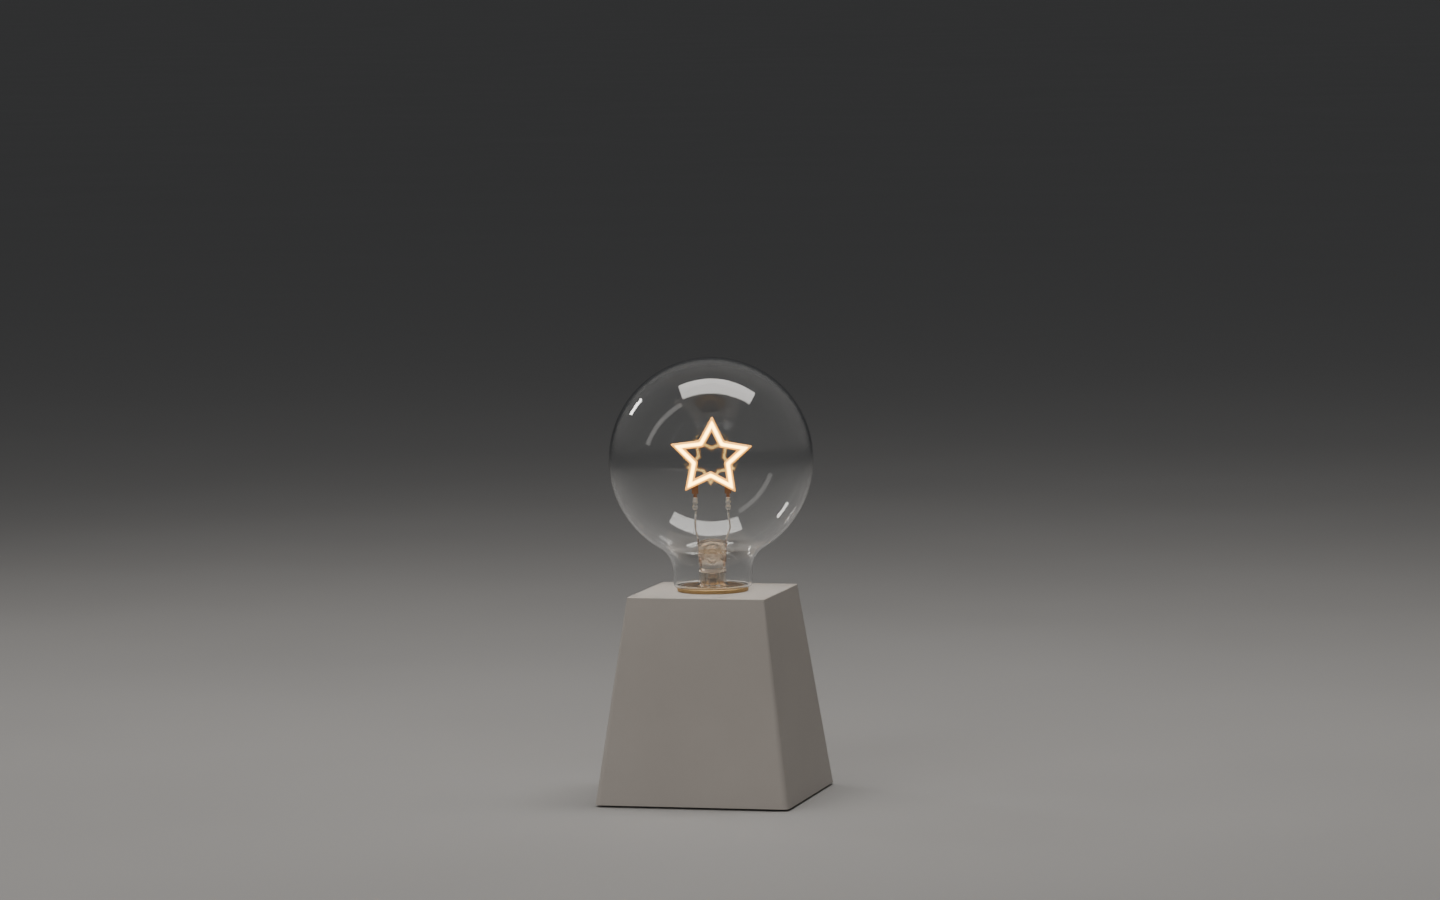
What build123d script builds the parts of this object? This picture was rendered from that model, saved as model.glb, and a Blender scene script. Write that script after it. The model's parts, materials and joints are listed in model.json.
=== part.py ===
"""Cordless table lamp: a screw-in globe bulb with a star-shaped LED filament on a pyramid base.

Frame: millimetres, +Z up, origin at the centre of the footprint, on the surface it stands on.
The base's front faces -Y. The filament star faces the front, turned a little to the right.
"""

from build123d import *
import os
from math import cos, pi, radians, sin, sqrt

# ---------------------------------------------------------------- driving dimensions
# Base: a truncated square pyramid shell
FOOT_GAP = 1.0  # the shell's rim stands this far above the surface
BASE_BOTTOM = 92.0  # side of the square at the rim
BASE_TOP = 65.3  # side of the square at the top
BASE_HEIGHT = 95.0
CORNER_BOTTOM = 3.0  # corner radius at the rim
CORNER_TOP = 0.8
WALL = 3.0
TOP_WALL = 4.5
TOP_EDGE = 0.5  # rounding round the top face
TOP_HOLE_R = 15.7

# Bottom plate, screwed up into four corner posts
PLATE_SIDE = 84.4
PLATE_Z = 1.6
PLATE_T = 2.5
POST_INNER = 31.0  # the posts' inner faces
POST_TOP = 24.0
SCREW_XY = 35.5
FOOT_R = 4.5
FOOT_X = 27.0
FOOT_Y = 37.0
RECESS = 0.5  # depth of the feet's recesses

# Battery bay: three AA cells side by side along Y
CELL_R = 7.1
CELL_LENGTH = 50.5
NUB_R = 2.7
NUB_LENGTH = 1.3
CELL_PITCH = 15.4
BAY_X = 23.2  # half width inside the tray
BAY_Y = 29.0
TRAY_WALL = 1.5
TRAY_CEILING = 19.0
FLANGE = 3.0  # width of the tray's foot flange
CONTACT_T = 0.4
DOOR_GAP = 0.3
DOOR_T = 2.0
DOOR_AXIS_Y = 28.2
HINGE_PIN_R = 0.6
FIT = 0.05  # running clearance

# Circuit board on the tray's four posts
BOARD_X = 38.0
BOARD_Y = 30.0
BOARD_T = 1.6
BOARD_Z = 24.0
BOARD_POST_X = 15.0
BOARD_POST_Y = 11.0

# Slide switch, worked from below
SWITCH_X = 34.0
SWITCH_TRAVEL = 2.0
KNOB_X = 3.0
KNOB_Y = 4.0
KNOB_TIP_Z = 0.9

# Lampholder, screwed up under the top wall
HOLDER_R = 15.5
HOLDER_BORE_R = 13.8
HOLDER_TOP_Z = 95.8
HOLDER_FLOOR_Z = 65.0
HOLDER_BOTTOM_Z = 62.0
HOLDER_FLANGE_R = 21.0
HOLDER_FLANGE_Z = 80.0
HOLDER_FLANGE_T = 3.0
HOLDER_SCREW_R = 18.3
SLEEVE_R = 13.25
SLEEVE_T = 0.5

# Bulb: a 95 mm globe on an Edison screw cap, 27 mm nominal
GLOBE_R = 47.5
GLOBE_Z = 157.1
GLASS_T = 0.9
NECK_R = 18.35  # at NECK_REF_Z
NECK_REF_Z = 100.0
NECK_TAPER = 2.0  # degrees, wider upwards
NECK_FILLET = 11.5  # concave, neck to globe
GLASS_BOTTOM_Z = 97.9
HEEL_R = 1.6  # rounding at the bottom of the neck
SEAL_R = 15.0  # where the stem's flare is sealed to the neck
COLLAR_R = 16.5
COLLAR_BORE_R = 5.5
COLLAR_Z = 96.1
CAP_R = 13.05  # over the thread
CAP_INNER_R = 11.8
CAP_BOTTOM_Z = 72.0

# Stem inside the bulb: flare, tube, flattened pinch
STEM_R = 6.0  # middle of the tube's wall
FLARE_R = 2.0  # bend from the tube into the flat flare
STEM_TOP_Z = 108.0  # end of the tube's hollow
PINCH_Z = 116.0
PINCH_TOP_Z = 120.3
PINCH_X = 7.2  # half width of the lip at the top
PINCH_WAIST_X = 6.5
PINCH_Y = 2.2
PINCH_CROWN_R = 18.0
EXHAUST_R = 2.0
EXHAUST_BORE_R = 1.3

# Star filament. The bulb is screwed home, so its star faces a little to the right of the base's front
BULB_TURN = 14.4  # degrees about the lamp's axis
STAR_Y = -8.0
STAR_Z = 158.6
STAR_TIP_R = 19.0
STAR_NOTCH_R = 9.6
STAR_STRETCH = 1.035  # across
STAR_STRIP = 2.9
STAR_TILT = 2.0  # degrees, clockwise seen from the front
SUBSTRATE_T = 0.4
PHOSPHOR_T = 0.7
TAB_X = 7.6  # the two feed tabs, either side of the star's middle
TAB_WIDTH = 3.0
TAB_TOP_Z = 146.2  # inside the strip
TAB_BOTTOM_Z = 142.0
TONGUE_WIDTH = 1.5  # under the tab, held in the crimp
TONGUE_BOTTOM_Z = 138.6
CRIMP_X = 2.4
CRIMP_Y = 1.6
CRIMP_BOTTOM_Z = 134.6
CRIMP_TOP_Z = 140.4
LEAD_R = 0.4
LEAD_X = 3.8  # where the leads pass the exhaust tube

LOW = (Align.CENTER, Align.CENTER, Align.MIN)
PLATE_TOP_Z = PLATE_Z + PLATE_T
SHELL_TOP_Z = FOOT_GAP + BASE_HEIGHT
CEILING_Z = SHELL_TOP_Z - TOP_WALL
BOARD_TOP_Z = BOARD_Z + BOARD_T
CELL_Z = PLATE_TOP_Z + CELL_R + 0.1
TRAY_TOP_Z = TRAY_CEILING + TRAY_WALL
CONNECTOR_H = 5.0


# ---------------------------------------------------------------- helpers
def rod(radius, low, high, x=0.0, y=0.0):
    """A vertical cylinder."""
    return Pos(x, y, low) * Cylinder(radius, high - low, align=LOW)


def block(size_x, size_y, low, high, x=0.0, y=0.0):
    """A box with its sides along the axes."""
    return Pos(x, y, low) * Box(size_x, size_y, high - low, align=LOW)


def pipe(outer, inner, low, high):
    """A vertical tube on the lamp's axis."""
    return rod(outer, low, high) - rod(inner, low - 1, high + 1)


def turned(points):
    """A closed outline of (radius, height) points turned about the lamp's axis."""
    outline = Polyline([(r, 0, z) for r, z in points], close=True)
    return revolve(make_face(outline), Axis.Z)


def wire(points, radius, bend):
    """A round wire along straight runs joined by arcs."""
    path = FilletPolyline(*points, radius=bend)
    section = Plane(origin=path @ 0, z_dir=path % 0) * Circle(radius)
    return sweep(section, path=path)


def corners(x, y):
    """The four points at plus and minus x and y."""
    return [(x, y), (-x, y), (-x, -y), (x, -y)]


def half_side(z, inset=0.0):
    """Half the side of the pyramid's square at height z, inset from the outside."""
    slope = (BASE_BOTTOM - BASE_TOP) / 2 / BASE_HEIGHT
    return BASE_BOTTOM / 2 - slope * (z - FOOT_GAP) - inset


def square_section(z, inset, corner):
    side = 2 * half_side(z, inset)
    return Pos(0, 0, z) * RectangleRounded(side, side, corner)


# ---------------------------------------------------------------- base
def make_base_shell():
    bottom = square_section(FOOT_GAP, 0, CORNER_BOTTOM)
    top = square_section(SHELL_TOP_Z, 0, CORNER_TOP)
    outside = loft([bottom, top])
    outside = fillet(outside.faces().sort_by(Axis.Z)[-1].edges(), TOP_EDGE)
    opening = square_section(FOOT_GAP - 1, WALL, CORNER_BOTTOM - 1)
    ceiling = square_section(CEILING_Z, WALL, CORNER_TOP)
    shell = outside - loft([opening, ceiling])
    for x, y in corners(1, 1):
        reach = BASE_BOTTOM / 2 - POST_INNER
        middle = POST_INNER + reach / 2
        post = block(reach, reach, PLATE_TOP_Z, POST_TOP, x * middle, y * middle)
        shell += post & outside
        shell -= rod(1.35, PLATE_TOP_Z - 1, POST_TOP - 6, x * SCREW_XY, y * SCREW_XY)
    boss_z = HOLDER_FLANGE_Z + HOLDER_FLANGE_T
    shell += rod(HOLDER_FLANGE_R, boss_z, CEILING_Z + 1)
    shell -= rod(TOP_HOLE_R, boss_z - 1, SHELL_TOP_Z + 1)
    for x, y in holder_screw_places():
        shell -= rod(1.15, boss_z - 1, boss_z + 6, x, y)
    return shell


def holder_screw_places():
    angles = [radians(90 + 120 * i) for i in range(3)]
    return [(HOLDER_SCREW_R * cos(a), HOLDER_SCREW_R * sin(a)) for a in angles]


def make_bottom_plate():
    plate = Pos(0, 0, PLATE_Z) * extrude(RectangleRounded(PLATE_SIDE, PLATE_SIDE, 2), PLATE_T)
    open_x = BAY_X + 0.8
    open_y = BAY_Y + 0.5
    plate -= block(2 * open_x, 2 * open_y, PLATE_Z - 1, PLATE_TOP_Z + 1)
    for x, y in corners(SCREW_XY, SCREW_XY):
        plate -= rod(1.6, PLATE_Z - 1, PLATE_TOP_Z + 1, x, y)
        plate -= rod(3.0, PLATE_Z - 1, PLATE_Z + 1.2, x, y)
    for x, y in corners(FOOT_X, FOOT_Y):
        plate -= rod(FOOT_R + 0.2, PLATE_Z - 1, PLATE_Z + RECESS, x, y)
    slot_y = KNOB_Y + 2 * SWITCH_TRAVEL + 0.6
    plate -= block(KNOB_X + 0.6, slot_y, PLATE_Z - 1, PLATE_TOP_Z + 1, SWITCH_X)
    for x, y in tray_screw_places():
        plate -= rod(1.0, PLATE_Z + 0.4, PLATE_TOP_Z + 1, x, y)
    pin_z = PLATE_Z + DOOR_T / 2
    for side in (-1, 1):
        socket = Rot(0, 90, 0) * Cylinder(HINGE_PIN_R + FIT, 4)
        plate -= Pos(side * (open_x + 1), DOOR_AXIS_Y, pin_z) * socket
    return plate


def make_plate_screws():
    screws = []
    for x, y in corners(SCREW_XY, SCREW_XY):
        head = fillet(rod(2.8, PLATE_Z + 0.1, PLATE_Z + 1.2, x, y).edges().group_by(Axis.Z)[0], 0.5)
        head -= block(3.4, 0.8, PLATE_Z, PLATE_Z + 0.6, x, y)
        head -= block(0.8, 3.4, PLATE_Z, PLATE_Z + 0.6, x, y)
        screws.append(head + rod(1.3, PLATE_Z + 1.2, PLATE_Z + 12.2, x, y))
    return screws


def make_feet():
    feet = []
    for x, y in corners(FOOT_X, FOOT_Y):
        foot = rod(FOOT_R, 0, PLATE_Z + RECESS, x, y)
        feet.append(fillet(foot.edges().group_by(Axis.Z)[0], 0.4))
    return feet


# ---------------------------------------------------------------- battery bay
def cell_places():
    """Each cell's x and the end its nub points to."""
    return [(-CELL_PITCH, 1), (0.0, -1), (CELL_PITCH, 1)]


def tray_screw_places():
    return corners(BAY_X + TRAY_WALL + FLANGE / 2, 20.0)


def make_battery_tray():
    outer_x = BAY_X + TRAY_WALL
    outer_y = BAY_Y + TRAY_WALL
    tray = block(2 * outer_x, 2 * outer_y, PLATE_TOP_Z, TRAY_TOP_Z)
    foot_x = 2 * (outer_x + FLANGE)
    foot_y = 2 * (outer_y + FLANGE)
    tray += block(foot_x, foot_y, PLATE_TOP_Z, PLATE_TOP_Z + TRAY_WALL)
    tray -= block(2 * BAY_X, 2 * BAY_Y, PLATE_TOP_Z - 1, TRAY_CEILING)
    for x, y in tray_screw_places():
        tray -= rod(1.0, PLATE_TOP_Z - 1, PLATE_TOP_Z + 3, x, y)
    for x, y in corners(BOARD_POST_X, BOARD_POST_Y):
        tray += rod(2.5, TRAY_TOP_Z, BOARD_Z, x, y)
        tray -= rod(0.95, TRAY_TOP_Z + 0.5, BOARD_Z + 1, x, y)
    for x, y in contact_tab_places():
        tray -= block(4.0, 1.0, TRAY_CEILING - 1, TRAY_TOP_Z + 1, x, y)
    return tray


def make_tray_screws():
    flange_top = PLATE_TOP_Z + TRAY_WALL
    shank_low = PLATE_Z + 0.6
    places = tray_screw_places()
    shanks = [rod(0.95, shank_low, flange_top, x, y) for x, y in places]
    heads = [rod(1.4, flange_top, flange_top + 1.1, x, y) for x, y in places]
    return [shank + head for shank, head in zip(shanks, heads)]


def make_battery_door():
    width = 2 * (BAY_X + 0.8 - DOOR_GAP)
    front = -(BAY_Y + 0.5 - DOOR_GAP)
    axis_z = PLATE_Z + DOOR_T / 2
    door = block(width, DOOR_AXIS_Y - front, PLATE_Z, PLATE_Z + DOOR_T, 0, (DOOR_AXIS_Y + front) / 2)
    along_x = Rot(0, 90, 0)
    door += Pos(0, DOOR_AXIS_Y, axis_z) * along_x * Cylinder(DOOR_T / 2, width)
    for side in (-1, 1):
        middle = side * (width / 2 + 0.5)
        door += Pos(middle, DOOR_AXIS_Y, axis_z) * along_x * Cylinder(HINGE_PIN_R, 1.0)
    notch = Pos(0, front + 4, PLATE_Z - 5.2) * along_x * Cylinder(6.2, 14)
    door -= notch
    for i in range(5):
        door -= block(14, 0.8, PLATE_Z - 1, PLATE_Z + 0.5, 0, front + 14 + 2.0 * i)
    return door


def make_battery(x, end):
    body = Cylinder(CELL_R, CELL_LENGTH - NUB_LENGTH)
    body = fillet(body.edges(), 0.6)
    nub = Pos(0, 0, CELL_LENGTH / 2) * Cylinder(NUB_R, NUB_LENGTH)
    cell = body + nub
    along_y = Rot(-90 * end, 0, 0)
    tip = end * (BAY_Y - CONTACT_T)
    centre = tip - end * (NUB_LENGTH + (CELL_LENGTH - NUB_LENGTH) / 2)
    return Pos(x, centre, CELL_Z) * along_y * cell


def make_battery_springs():
    """A coil spring behind each cell's flat end."""
    springs = []
    wire_r = 0.35
    for x, end in cell_places():
        flat = end * (BAY_Y - CONTACT_T - CELL_LENGTH)
        wall = -end * (BAY_Y - CONTACT_T)
        length = abs(wall - flat) - 2 * wire_r - 0.1
        start = min(wall, flat) + wire_r + 0.05
        coil = Helix(pitch=length / 4, height=length, radius=3.4)
        section = Plane(origin=coil @ 0, z_dir=coil % 0) * Circle(wire_r)
        spring = sweep(section, path=coil, is_frenet=True)
        springs.append(Pos(x, start, CELL_Z) * Rot(-90, 0, 0) * spring)
    return springs


def contact_tab_places():
    """Where the two end contacts leave through the tray's top."""
    y = BAY_Y - CONTACT_T / 2
    return [(CELL_PITCH, y), (-CELL_PITCH, -y)]


def make_battery_contacts():
    low = CELL_Z - 4.5
    high = CELL_Z + 4.5
    y = BAY_Y - CONTACT_T / 2
    contacts = []
    for side in (1, -1):
        middle = -side * CELL_PITCH / 2
        contacts.append(block(CELL_PITCH + 9, CONTACT_T, low, high, middle, side * y))
        single = block(9, CONTACT_T, low, high, side * CELL_PITCH, side * y)
        single += block(3, CONTACT_T, high, TRAY_TOP_Z + 2.5, side * CELL_PITCH, side * y)
        contacts.append(single)
    return contacts


# ---------------------------------------------------------------- electronics
def make_circuit_board():
    board = Pos(0, 0, BOARD_Z) * extrude(RectangleRounded(BOARD_X, BOARD_Y, 1.5), BOARD_T)
    for x, y in corners(BOARD_POST_X, BOARD_POST_Y):
        board -= rod(1.1, BOARD_Z - 1, BOARD_TOP_Z + 1, x, y)
    return board


def make_board_screws():
    screws = []
    for x, y in corners(BOARD_POST_X, BOARD_POST_Y):
        shank = rod(0.9, TRAY_TOP_Z + 0.8, BOARD_TOP_Z, x, y)
        screws.append(shank + rod(1.9, BOARD_TOP_Z, BOARD_TOP_Z + 1.2, x, y))
    return screws


def make_timer_chip():
    x, y = -7.0, 2.0
    chip = block(5.0, 4.0, BOARD_TOP_Z + 0.15, BOARD_TOP_Z + 1.7, x, y)
    for i in range(4):
        leg_x = x + 1.27 * (i - 1.5)
        chip += block(0.4, 6.0, BOARD_TOP_Z, BOARD_TOP_Z + 0.4, leg_x, y)
    return chip


def make_capacitor():
    can = rod(3.15, BOARD_TOP_Z + 0.6, BOARD_TOP_Z + 7.7, 4, -4)
    can = fillet(can.edges(), 0.5)
    return can + block(6.6, 6.6, BOARD_TOP_Z, BOARD_TOP_Z + 1.0, 4, -4)


def make_resistors():
    return [block(2.0, 1.25, BOARD_TOP_Z, BOARD_TOP_Z + 0.6, -12 + 3.2 * i, -5) for i in range(4)]


def connector_places():
    """Battery, lamp and switch plugs on the board."""
    return {"battery": (0.0, 11.5), "lamp": (0.0, -11.5), "switch": (15.5, 0.0)}


def make_board_connectors():
    top = BOARD_TOP_Z + CONNECTOR_H
    return [block(5.5, 4.5, BOARD_TOP_Z, top, x, y) for x, y in connector_places().values()]


def make_battery_wires():
    top = BOARD_TOP_Z + CONNECTOR_H
    x, y = connector_places()["battery"]
    (right_x, right_y), (left_x, left_y) = contact_tab_places()
    start = TRAY_TOP_Z + 2.5
    right = [(right_x, right_y, start), (right_x, right_y, start + 6), (9, 20, 37), (x + 1.3, y, 37.5),
             (x + 1.3, y, top)]
    left = [(left_x, left_y, start), (left_x, left_y, start + 7), (-19, -10, 37), (-12, 6, 39),
            (x - 1.3, y, 38), (x - 1.3, y, top)]
    return [wire(right, 0.7, 2.5), wire(left, 0.7, 2.5)]


def make_switch_wires():
    top = BOARD_TOP_Z + CONNECTOR_H
    x, y = connector_places()["switch"]
    runs = []
    for side in (-1, 1):
        end_y = y + side * 1.3
        pin_y = side * 3.0
        runs.append([(SWITCH_X, pin_y, 12.6), (SWITCH_X, pin_y, 20), (29, pin_y, 29),
                     (22, end_y * 1.2, 36), (x, end_y, 36.5), (x, end_y, top)])
    return [wire(run, 0.6, 2.0) for run in runs]


def make_holder_wires():
    top = BOARD_TOP_Z + CONNECTOR_H
    x, y = connector_places()["lamp"]
    runs = []
    for side in (-1, 1):
        runs.append([(x + side * 1.4, y, top), (x + side * 1.4, y, 37), (side * 8, -6, 46),
                     (side * 8, 0, 52), (side * 8, 0, 57)])
    return [wire(run, 0.8, 2.5) for run in runs]


# ---------------------------------------------------------------- switch
def make_switch_body():
    body = block(7, 16, PLATE_TOP_Z, PLATE_TOP_Z + 6, SWITCH_X)
    body = fillet(body.edges().filter_by(Axis.Z), 0.6)
    return body - block(4.8, 10.4, PLATE_TOP_Z - 1, PLATE_TOP_Z + 2.4, SWITCH_X)


def make_switch_pins():
    low = PLATE_TOP_Z + 6
    return [block(1.6, 0.8, low, 12.6, SWITCH_X, y) for y in (-3, 0, 3)]


def make_switch_knob():
    stem = block(KNOB_X, KNOB_Y, KNOB_TIP_Z, PLATE_TOP_Z + 0.5, SWITCH_X)
    stem = fillet(stem.edges().filter_by(Axis.Z), 0.4)
    for i in (-1, 0, 1):
        stem -= block(KNOB_X + 1, 0.4, KNOB_TIP_Z - 1, KNOB_TIP_Z + 0.4, SWITCH_X, i)
    return stem + block(4.0, 5.6, PLATE_TOP_Z + 0.5, PLATE_TOP_Z + 1.8, SWITCH_X)


# ---------------------------------------------------------------- lampholder
def make_lampholder_body():
    body = rod(HOLDER_R, HOLDER_BOTTOM_Z, HOLDER_TOP_Z)
    flange_top = HOLDER_FLANGE_Z + HOLDER_FLANGE_T
    body += rod(HOLDER_FLANGE_R, HOLDER_FLANGE_Z, flange_top)
    body -= rod(HOLDER_BORE_R, HOLDER_FLOOR_Z, HOLDER_TOP_Z + 1)
    for x, y in holder_screw_places():
        body -= rod(1.4, HOLDER_FLANGE_Z - 1, flange_top + 1, x, y)
    for side in (-1, 1):
        body -= rod(1.05, HOLDER_BOTTOM_Z - 1, HOLDER_FLOOR_Z + 1, side * 8)
    return body


def make_lampholder_screws():
    screws = []
    for x, y in holder_screw_places():
        head = rod(2.3, HOLDER_FLANGE_Z - 1.6, HOLDER_FLANGE_Z, x, y)
        screws.append(head + rod(1.1, HOLDER_FLANGE_Z, HOLDER_FLANGE_Z + 8, x, y))
    return screws


def make_lampholder_sleeve():
    """The shell that the cap screws into, with a leg down to its terminal."""
    outer = SLEEVE_R + SLEEVE_T
    sleeve = pipe(outer, SLEEVE_R, 70, 92)
    leg = pipe(outer, SLEEVE_R, HOLDER_FLOOR_Z, 70) & block(4, 4, 60, 71, -13.5)
    toe = block(8.5, 4, HOLDER_FLOOR_Z, HOLDER_FLOOR_Z + SLEEVE_T, -9.2)
    return sleeve + leg + toe


def make_lampholder_contact():
    """A sprung tongue under the cap's centre contact."""
    t = 0.5
    low = HOLDER_FLOOR_Z
    tip = CAP_BOTTOM_Z - 3.8
    outline = Polyline([(10, 0, low), (10, 0, low + t), (4.2, 0, low + t), (-2, 0, tip), (-3.5, 0, tip - 0.6),
                        (-3.3, 0, tip - 1.1), (-2, 0, tip - t), (4, 0, low)], close=True)
    return extrude(make_face(outline), 3.0, both=True)


def make_lampholder_terminals():
    terminals = []
    for side in (-1, 1):
        x = side * 8
        terminal = block(6, 7, 57, HOLDER_BOTTOM_Z, x)
        terminal += rod(1.0, HOLDER_BOTTOM_Z, HOLDER_FLOOR_Z, x)
        terminal -= Pos(x + side * 2, 0, 59.5) * Rot(0, 90, 0) * Cylinder(1.4, 4)
        terminals.append(terminal)
    return terminals


# ---------------------------------------------------------------- bulb: glass
def bulb_outline(inset):
    """Half the bulb's outline, inset from the outside, from the top of the globe to the heel."""
    taper = radians(NECK_TAPER)
    along = Vector(sin(taper), 0, cos(taper))
    outward = Vector(cos(taper), 0, -sin(taper))
    globe = Vector(0, 0, GLOBE_Z)
    neck = Vector(NECK_R, 0, NECK_REF_Z)
    # the fillet's centre lies NECK_FILLET outside the neck and the same distance outside the globe
    reach = GLOBE_R + NECK_FILLET
    start = neck + outward * NECK_FILLET - globe
    b = start.dot(along)
    step = sqrt(b * b - start.dot(start) + reach**2) * -1 - b
    bend = globe + start + along * step
    to_globe = (globe - bend).normalized()
    bend_r = NECK_FILLET + inset
    # the heel's centre lies HEEL_R inside the neck and HEEL_R above the bottom
    heel_z = GLASS_BOTTOM_Z + HEEL_R
    down = (heel_z + HEEL_R * outward.Z - NECK_REF_Z) / along.Z
    heel = neck + along * down - outward * HEEL_R
    heel_r = HEEL_R - inset
    globe_r = GLOBE_R - inset
    globe_end = globe - to_globe * globe_r
    neck_top = bend - outward * bend_r
    neck_bottom = heel + outward * heel_r
    heel_end = heel - Vector(0, 0, heel_r)
    bend_middle = bend + (to_globe - outward).normalized() * bend_r
    heel_middle = heel + (outward + Vector(0, 0, -1)).normalized() * heel_r
    top = globe + Vector(0, 0, globe_r)
    return [
        ThreePointArc(top, globe + Vector(globe_r, 0, 0), globe_end),
        ThreePointArc(globe_end, bend_middle, neck_top),
        Line(neck_top, neck_bottom),
        ThreePointArc(neck_bottom, heel_middle, heel_end),
    ]


def make_bulb_glass():
    outside = bulb_outline(0)
    inside = bulb_outline(GLASS_T)
    rim_low = Vector(SEAL_R, 0, GLASS_BOTTOM_Z)
    rim_high = rim_low + Vector(0, 0, GLASS_T)
    joins = [
        Line(outside[-1] @ 1, rim_low),
        Line(rim_low, rim_high),
        Line(rim_high, inside[-1] @ 1),
        Line(inside[0] @ 0, outside[0] @ 0),
    ]
    return revolve(make_face(outside + inside + joins), Axis.Z)


def make_stem_glass():
    """Flat flare, sealed to the neck, and the tube that rises from it, closed above by the pinch."""
    half = GLASS_T / 2
    bend_x = STEM_R + FLARE_R
    bend_z = GLASS_BOTTOM_Z + half + FLARE_R

    def on_bend(radius, share):
        angle = pi / 2 * share
        return (bend_x - radius * sin(angle), 0, bend_z - radius * cos(angle))

    under, over = FLARE_R + half, FLARE_R - half
    inner_r, outer_r = STEM_R - half, STEM_R + half
    top_inner, top_outer = (inner_r, 0, STEM_TOP_Z), (outer_r, 0, STEM_TOP_Z)
    rim_low = (SEAL_R, 0, GLASS_BOTTOM_Z)
    rim_high = (SEAL_R, 0, GLASS_BOTTOM_Z + GLASS_T)
    outline = [
        Line(rim_low, on_bend(under, 0)),
        ThreePointArc(on_bend(under, 0), on_bend(under, 0.5), on_bend(under, 1)),
        Polyline([on_bend(under, 1), top_inner, top_outer, on_bend(over, 1)]),
        ThreePointArc(on_bend(over, 1), on_bend(over, 0.5), on_bend(over, 0)),
        Polyline([on_bend(over, 0), rim_high, rim_low]),
    ]
    return revolve(make_face(outline), Axis.Z) + make_pinch(outer_r)


def make_pinch(tube_r):
    """The flattened end of the stem's tube: thin along Y, with a wider lip and an arched top."""
    shoulder = PINCH_Z + 1.5
    top = (0, 0, PINCH_TOP_Z)
    side_z = PINCH_TOP_Z - PINCH_CROWN_R + sqrt(PINCH_CROWN_R**2 - PINCH_X**2)
    right = [(tube_r, 0, STEM_TOP_Z), (PINCH_WAIST_X, 0, PINCH_Z), (PINCH_X, 0, side_z)]
    left = [(-x, y, z) for x, y, z in reversed(right)]
    front = [Polyline(left + right), ThreePointArc(right[-1], top, left[0])]
    side = Polyline([(0, -tube_r, STEM_TOP_Z), (0, tube_r, STEM_TOP_Z), (0, PINCH_Y, shoulder),
                     (0, PINCH_Y, PINCH_TOP_Z + 1), (0, -PINCH_Y, PINCH_TOP_Z + 1),
                     (0, -PINCH_Y, shoulder)], close=True)
    wedge = extrude(make_face(front), 20, both=True) & extrude(make_face(side), 20, both=True)
    height = PINCH_TOP_Z + 1 - STEM_TOP_Z
    envelope = Pos(0, 0, STEM_TOP_Z) * Cone(tube_r, tube_r + 0.35 * height, height, align=LOW)
    return wedge & envelope


def make_exhaust_tube():
    return pipe(EXHAUST_R, EXHAUST_BORE_R, 88, STEM_TOP_Z)


# ---------------------------------------------------------------- bulb: star
def star_ring(strip, inset=0.0):
    """A flat five-pointed ring facing the front, centred on the origin."""
    points = []
    for i in range(10):
        radius = STAR_TIP_R if i % 2 == 0 else STAR_NOTCH_R
        angle = radians(90 + 36 * i)
        points.append((STAR_STRETCH * radius * cos(angle), radius * sin(angle)))
    outline = make_face(Polyline(points, close=True))
    outer = outline if inset == 0 else offset(outline, -inset, kind=Kind.INTERSECTION)
    inner = offset(outline, -(strip - inset), kind=Kind.INTERSECTION)
    return fillet(outer.vertices(), 0.5) - fillet(inner.vertices(), 0.4)


def place_star(flat, thickness, front_y):
    """Stand a flat figure upright, tilt it, and give it its thickness behind front_y."""
    upright = Rot(0, STAR_TILT, 0) * Rot(90, 0, 0) * extrude(flat, -thickness)
    return Pos(0, front_y, STAR_Z) * upright


def make_star_substrate():
    """The carrier plate, with a feed tab and a tongue under each of its two lower tips."""
    plate = place_star(star_ring(STAR_STRIP), SUBSTRATE_T, STAR_Y - SUBSTRATE_T / 2)
    for x in (-TAB_X, TAB_X):
        plate += block(TAB_WIDTH, SUBSTRATE_T, TAB_BOTTOM_Z, TAB_TOP_Z, x, STAR_Y)
        plate += block(TONGUE_WIDTH, SUBSTRATE_T, TONGUE_BOTTOM_Z, TAB_BOTTOM_Z, x, STAR_Y)
    return plate


def make_star_filament():
    """Phosphor on the front and on the back of the substrate."""
    ring = star_ring(STAR_STRIP, 0.12)
    front = place_star(ring, PHOSPHOR_T, STAR_Y - SUBSTRATE_T / 2 - PHOSPHOR_T)
    back = place_star(ring, PHOSPHOR_T, STAR_Y + SUBSTRATE_T / 2)
    return [front, back]


def make_lead_crimps():
    crimps = []
    for x in (-TAB_X, TAB_X):
        crimp = block(CRIMP_X, CRIMP_Y, CRIMP_BOTTOM_Z, CRIMP_TOP_Z, x, STAR_Y)
        crimp = fillet(crimp.edges().filter_by(Axis.Z), 0.4)
        crimp -= block(TONGUE_WIDTH, SUBSTRATE_T, TONGUE_BOTTOM_Z, CRIMP_TOP_Z + 1, x, STAR_Y)
        crimp -= rod(LEAD_R, CRIMP_BOTTOM_Z - 1, CRIMP_BOTTOM_Z + 3, x, STAR_Y)
        crimps.append(crimp)
    return crimps


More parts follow.
